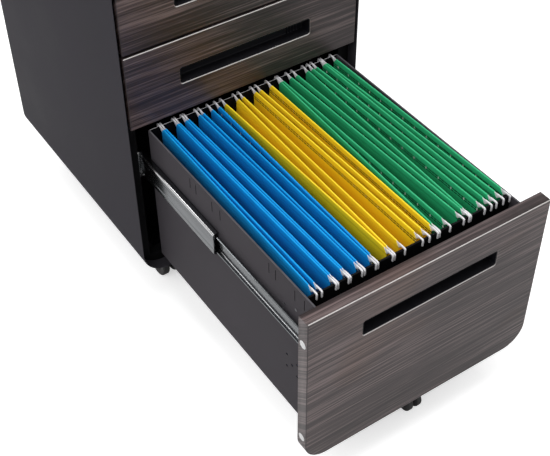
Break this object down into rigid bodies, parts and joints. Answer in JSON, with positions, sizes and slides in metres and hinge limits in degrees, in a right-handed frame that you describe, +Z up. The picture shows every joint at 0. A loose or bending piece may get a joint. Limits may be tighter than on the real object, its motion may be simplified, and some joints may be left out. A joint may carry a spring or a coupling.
{
  "type": "mobile drawer pedestal",
  "caption": "Wheeled steel under-desk drawer unit: box drawers above a file drawer on ball slides, open with hanging folders in it.",
  "frame": {"origin": "on the floor, at the middle of the width and of the whole depth, from the cabinet's back edge to the face of the open file drawer", "axes": "+Z up, -Y the way the drawers open, +X to the right of someone facing the fronts"},
  "size_m": [0.39, 0.855, 0.595],
  "materials": {
    "body_paint": "fine-textured charcoal powder coat",
    "frame_paint": "black powder coat",
    "drawer_paint": "fine-textured charcoal powder coat",
    "wood_laminate": "dark grey-brown wood-grain laminate with satin sheen",
    "pocket_plastic": "moulded blue-black plastic",
    "cap_plastic": "white moulded plastic",
    "zinc_steel": "bright zinc-plated rolled steel",
    "ball_steel": "bright steel balls in a zinc-plated strip",
    "screw_steel": "zinc-plated",
    "castor_steel": "zinc-plated pressed steel",
    "castor_plastic": "black nylon",
    "castor_wheel": "dark grey nylon",
    "blue_card": "smooth blue card",
    "yellow_card": "smooth yellow card",
    "green_card": "smooth green card",
    "rod_steel": "pale grey coated steel strip",
    "lock_chrome": "polished chrome plate"
  },
  "bodies": {
    "cabinet": {"shell": "body_paint", "rear_panel": "body_paint", "front_frame": "frame_paint", "slide_uprights": "frame_paint", "cross_rails": "frame_paint", "base_channels": "frame_paint", "cabinet_screws": "screw_steel", "castor_plates": "castor_steel", "file_slide_outers": "zinc_steel", "middle_slide_outers": "zinc_steel", "top_slide_outers": "zinc_steel"},
    "file_drawer": {"file_front": "wood_laminate", "file_grip_pocket": "pocket_plastic", "file_front_caps": "cap_plastic", "file_inner_front": "drawer_paint", "file_tray": "drawer_paint", "file_back": "drawer_paint", "hanging_rail": "drawer_paint", "file_drawer_screws": "screw_steel", "fifth_wheel_bracket": "frame_paint", "fifth_wheel_axle": "screw_steel", "file_slide_inners": "zinc_steel", "blue_folders": "blue_card", "yellow_folders": "yellow_card", "green_folders": "green_card", "folder_rods": "rod_steel"},
    "middle_drawer": {"middle_front": "wood_laminate", "middle_inner_front": "drawer_paint", "middle_grip_pocket": "pocket_plastic", "middle_tray": "drawer_paint", "middle_back": "drawer_paint", "middle_slide_inners": "zinc_steel"},
    "top_drawer": {"top_front": "wood_laminate", "top_inner_front": "drawer_paint", "top_grip_pocket": "pocket_plastic", "top_tray": "drawer_paint", "top_back": "drawer_paint", "top_slide_inners": "zinc_steel", "lock_barrel": "lock_chrome"},
    "lock_plug": {"lock_plug": "lock_chrome", "lock_cam": "zinc_steel"},
    "fifth_wheels": {"fifth_wheels": "castor_wheel"},
    "file_slide_outer_cages": {"file_slide_outer_cages": "ball_steel"},
    "file_slide_middles": {"file_slide_middles": "zinc_steel"},
    "file_slide_inner_cages": {"file_slide_inner_cages": "ball_steel"},
    "middle_slide_outer_cages": {"middle_slide_outer_cages": "ball_steel"},
    "middle_slide_middles": {"middle_slide_middles": "zinc_steel"},
    "middle_slide_inner_cages": {"middle_slide_inner_cages": "ball_steel"},
    "top_slide_outer_cages": {"top_slide_outer_cages": "ball_steel"},
    "top_slide_middles": {"top_slide_middles": "zinc_steel"},
    "top_slide_inner_cages": {"top_slide_inner_cages": "ball_steel"},
    "castor_front_left": {"castor_hood_front_left": "castor_plastic"},
    "castor_wheels_front_left": {"castor_wheels_front_left": "castor_wheel"},
    "castor_rear_left": {"castor_hood_rear_left": "castor_plastic"},
    "castor_wheels_rear_left": {"castor_wheels_rear_left": "castor_wheel"},
    "castor_front_right": {"castor_hood_front_right": "castor_plastic"},
    "castor_wheels_front_right": {"castor_wheels_front_right": "castor_wheel"},
    "castor_rear_right": {"castor_hood_rear_right": "castor_plastic"},
    "castor_wheels_rear_right": {"castor_wheels_rear_right": "castor_wheel"}
  },
  "joints": [
    {"name": "file_drawer_slide", "type": "slide", "parent": "cabinet", "child": "file_drawer", "axis": [0, 1, 0], "range_m": [0, 0.42]},
    {"name": "middle_drawer_slide", "type": "slide", "parent": "cabinet", "child": "middle_drawer", "axis": [0, -1, 0], "range_m": [0, 0.42]},
    {"name": "top_drawer_slide", "type": "slide", "parent": "cabinet", "child": "top_drawer", "axis": [0, -1, 0], "range_m": [0, 0.42]},
    {"name": "file_slide_outer_cages_slide", "type": "slide", "parent": "cabinet", "child": "file_slide_outer_cages", "axis": [0, 1, 0], "range_m": [0, 0.105]},
    {"name": "file_slide_middles_slide", "type": "slide", "parent": "cabinet", "child": "file_slide_middles", "axis": [0, 1, 0], "range_m": [0, 0.21]},
    {"name": "file_slide_inner_cages_slide", "type": "slide", "parent": "cabinet", "child": "file_slide_inner_cages", "axis": [0, 1, 0], "range_m": [0, 0.315]},
    {"name": "middle_slide_outer_cages_slide", "type": "slide", "parent": "cabinet", "child": "middle_slide_outer_cages", "axis": [0, -1, 0], "range_m": [0, 0.105]},
    {"name": "middle_slide_middles_slide", "type": "slide", "parent": "cabinet", "child": "middle_slide_middles", "axis": [0, -1, 0], "range_m": [0, 0.21]},
    {"name": "middle_slide_inner_cages_slide", "type": "slide", "parent": "cabinet", "child": "middle_slide_inner_cages", "axis": [0, -1, 0], "range_m": [0, 0.315]},
    {"name": "top_slide_outer_cages_slide", "type": "slide", "parent": "cabinet", "child": "top_slide_outer_cages", "axis": [0, -1, 0], "range_m": [0, 0.105]},
    {"name": "top_slide_middles_slide", "type": "slide", "parent": "cabinet", "child": "top_slide_middles", "axis": [0, -1, 0], "range_m": [0, 0.21]},
    {"name": "top_slide_inner_cages_slide", "type": "slide", "parent": "cabinet", "child": "top_slide_inner_cages", "axis": [0, -1, 0], "range_m": [0, 0.315]},
    {"name": "castor_front_left_swivel", "type": "hinge", "parent": "cabinet", "child": "castor_front_left", "pos_m": [-0.132, 0.068, 0.06], "axis": [0, 0, 1], "continuous": true},
    {"name": "castor_wheels_front_left_roll", "type": "hinge", "parent": "castor_front_left", "child": "castor_wheels_front_left", "pos_m": [-0.132, 0.05, 0.025], "axis": [1, 0, 0], "continuous": true},
    {"name": "castor_rear_left_swivel", "type": "hinge", "parent": "cabinet", "child": "castor_rear_left", "pos_m": [-0.132, 0.352, 0.06], "axis": [0, 0, 1], "continuous": true},
    {"name": "castor_wheels_rear_left_roll", "type": "hinge", "parent": "castor_rear_left", "child": "castor_wheels_rear_left", "pos_m": [-0.132, 0.334, 0.025], "axis": [1, 0, 0], "continuous": true},
    {"name": "castor_front_right_swivel", "type": "hinge", "parent": "cabinet", "child": "castor_front_right", "pos_m": [0.132, 0.068, 0.06], "axis": [0, 0, 1], "continuous": true},
    {"name": "castor_wheels_front_right_roll", "type": "hinge", "parent": "castor_front_right", "child": "castor_wheels_front_right", "pos_m": [0.132, 0.05, 0.025], "axis": [1, 0, 0], "continuous": true},
    {"name": "castor_rear_right_swivel", "type": "hinge", "parent": "cabinet", "child": "castor_rear_right", "pos_m": [0.132, 0.352, 0.06], "axis": [0, 0, 1], "continuous": true},
    {"name": "castor_wheels_rear_right_roll", "type": "hinge", "parent": "castor_rear_right", "child": "castor_wheels_rear_right", "pos_m": [0.132, 0.334, 0.025], "axis": [1, 0, 0], "continuous": true},
    {"name": "fifth_wheels_roll", "type": "hinge", "parent": "file_drawer", "child": "fifth_wheels", "pos_m": [0.02, -0.387, 0.017], "axis": [1, 0, 0], "continuous": true},
    {"name": "lock_turn", "type": "hinge", "parent": "top_drawer", "child": "lock_plug", "pos_m": [0.14, -0.0075, 0.5595], "axis": [0, 1, 0], "range_deg": [0, 90]}
  ],
  "couplings": [
    {"joint": "file_slide_outer_cages_slide", "follows": "file_drawer_slide", "ratio": 0.25},
    {"joint": "file_slide_middles_slide", "follows": "file_drawer_slide", "ratio": 0.5},
    {"joint": "file_slide_inner_cages_slide", "follows": "file_drawer_slide", "ratio": 0.75},
    {"joint": "middle_slide_outer_cages_slide", "follows": "middle_drawer_slide", "ratio": 0.25},
    {"joint": "middle_slide_middles_slide", "follows": "middle_drawer_slide", "ratio": 0.5},
    {"joint": "middle_slide_inner_cages_slide", "follows": "middle_drawer_slide", "ratio": 0.75},
    {"joint": "top_slide_outer_cages_slide", "follows": "top_drawer_slide", "ratio": 0.25},
    {"joint": "top_slide_middles_slide", "follows": "top_drawer_slide", "ratio": 0.5},
    {"joint": "top_slide_inner_cages_slide", "follows": "top_drawer_slide", "ratio": 0.75}
  ]
}
